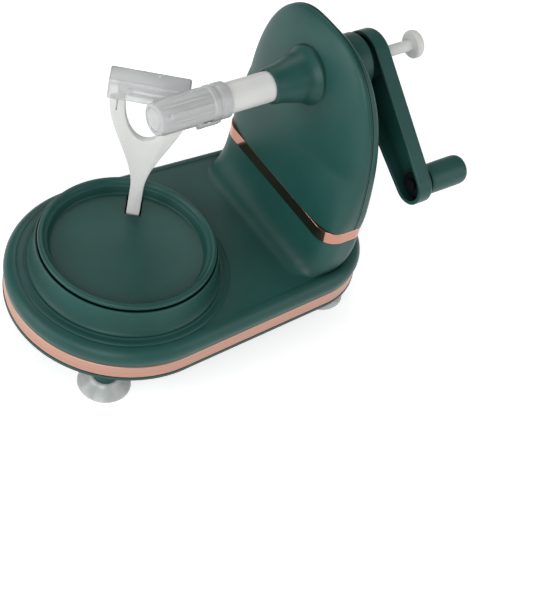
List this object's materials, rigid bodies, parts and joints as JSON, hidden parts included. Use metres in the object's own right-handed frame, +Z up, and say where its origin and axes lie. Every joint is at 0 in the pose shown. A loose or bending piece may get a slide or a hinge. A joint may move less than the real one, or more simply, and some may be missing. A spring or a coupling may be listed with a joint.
{
  "type": "apple peeler",
  "caption": "Hand-cranked fruit peeler: suction-foot base with an arched gear tower, a horizontal spindle with a capped fork, and a sprung Y-shaped blade arm on a geared turntable dish.",
  "frame": {"origin": "on the table, under the middle of the whole box", "axes": "+X from the dish to the crank, +Y to the side away from the handle, +Z up"},
  "size_m": [0.2457, 0.1399, 0.1819],
  "materials": {
    "green_plastic": "satin moulded dark green",
    "rose_matte": "matte rose-gold trim",
    "rose_polished": "polished rose-gold trim",
    "white_plastic": "smooth off-white",
    "clear_plastic": "translucent, slightly frosted",
    "clear_rubber": "translucent soft vinyl",
    "gear_nylon": "natural nylon",
    "steel": "bright steel"
  },
  "bodies": {
    "base": {"base_shell": "green_plastic", "pedestal_collar": "green_plastic", "base_plate": "green_plastic", "base_band": "rose_matte", "tower_band": "rose_polished", "tower_front_cover": "green_plastic", "tower_rear_cover": "green_plastic", "front_bush": "gear_nylon", "rear_bush": "gear_nylon", "gear_plate": "steel", "idler_axles": "steel", "gear_plate_screws": "steel", "plate_screws": "steel", "tower_screws": "steel", "turntable_screw": "steel", "thrust_washer": "gear_nylon", "suction_cup_front_near": "clear_rubber", "suction_cup_front_far": "clear_rubber", "suction_cup_rear_near": "clear_rubber", "suction_cup_rear_far": "clear_rubber"},
    "crank": {"spindle_tube": "white_plastic", "spindle_gear": "gear_nylon", "spindle_spacer": "gear_nylon", "fruit_fork": "steel", "crank_arm": "green_plastic", "crank_setscrew": "steel"},
    "handle": {"handle_grip": "green_plastic", "handle_screw": "steel"},
    "ejector": {"push_rod": "white_plastic", "push_knob": "white_plastic"},
    "fork_cap": {"prong_cap": "clear_plastic"},
    "idler_upper": {"idler_gear_upper": "gear_nylon"},
    "idler_lower": {"idler_gear_lower": "gear_nylon"},
    "drive": {"drive_shaft": "steel", "drive_gear": "gear_nylon", "worm": "steel"},
    "turntable": {"dish": "green_plastic", "turntable_hub": "gear_nylon", "worm_wheel": "gear_nylon", "dish_screws": "steel", "arm_bracket": "steel", "arm_pivot_pin": "steel", "arm_spring": "steel"},
    "arm": {"peeler_arm": "white_plastic"},
    "blade": {"peeler_blade": "steel"},
    "guard": {"blade_cover": "clear_plastic"}
  },
  "joints": [
    {"name": "crank_turn", "type": "hinge", "parent": "base", "child": "crank", "pos_m": [0.08635, 0.00281, 0.1493], "axis": [-1, 0, 0], "range_deg": [0, 5940]},
    {"name": "handle_spin", "type": "hinge", "parent": "crank", "child": "handle", "pos_m": [0.09435, -0.05901, 0.10682], "axis": [1, 0, 0], "continuous": true},
    {"name": "push_rod_slide", "type": "slide", "parent": "crank", "child": "ejector", "axis": [-1, 0, 0], "range_m": [0, 0.02]},
    {"name": "prong_cap_pull", "type": "slide", "parent": "crank", "child": "fork_cap", "axis": [-1, 0, 0], "range_m": [0, 0.06]},
    {"name": "idler_upper_spin", "type": "hinge", "parent": "base", "child": "idler_upper", "pos_m": [0.05435, 0.01341, 0.11333], "axis": [-1, 0, 0], "range_deg": [-3960, 0]},
    {"name": "idler_lower_spin", "type": "hinge", "parent": "base", "child": "idler_lower", "pos_m": [0.05435, 0.02243, 0.06924], "axis": [-1, 0, 0], "range_deg": [0, 3960]},
    {"name": "drive_spin", "type": "hinge", "parent": "base", "child": "drive", "pos_m": [-0.00565, 0.0268, 0.032], "axis": [-1, 0, 0], "range_deg": [-5940, 0]},
    {"name": "turntable_spin", "type": "hinge", "parent": "base", "child": "turntable", "pos_m": [-0.05565, 0.00281, 0.05], "axis": [0, 0, 1], "range_deg": [0, 247.5]},
    {"name": "arm_tilt", "type": "hinge", "parent": "turntable", "child": "arm", "pos_m": [-0.03766, 0.02712, 0.046], "axis": [-0.8039, 0.5948, 0], "range_deg": [0, 32], "stiffness_Nm_per_rad": 0.25, "springref_deg": -20.05, "deforming": ["arm_spring"]},
    {"name": "blade_swivel", "type": "hinge", "parent": "arm", "child": "blade", "pos_m": [-0.03554, 0.02998, 0.13853], "axis": [-0.8039, 0.5948, 0], "range_deg": [-15, 15]},
    {"name": "blade_cover_lift", "type": "slide", "parent": "arm", "child": "guard", "axis": [0.0228, 0.0309, 0.9993], "range_m": [0, 0.03]}
  ],
  "couplings": [
    {"joint": "idler_upper_spin", "follows": "crank_turn", "ratio": -0.66667},
    {"joint": "idler_lower_spin", "follows": "crank_turn", "ratio": 0.66667},
    {"joint": "drive_spin", "follows": "crank_turn", "ratio": -1},
    {"joint": "turntable_spin", "follows": "crank_turn", "ratio": 0.041667}
  ]
}
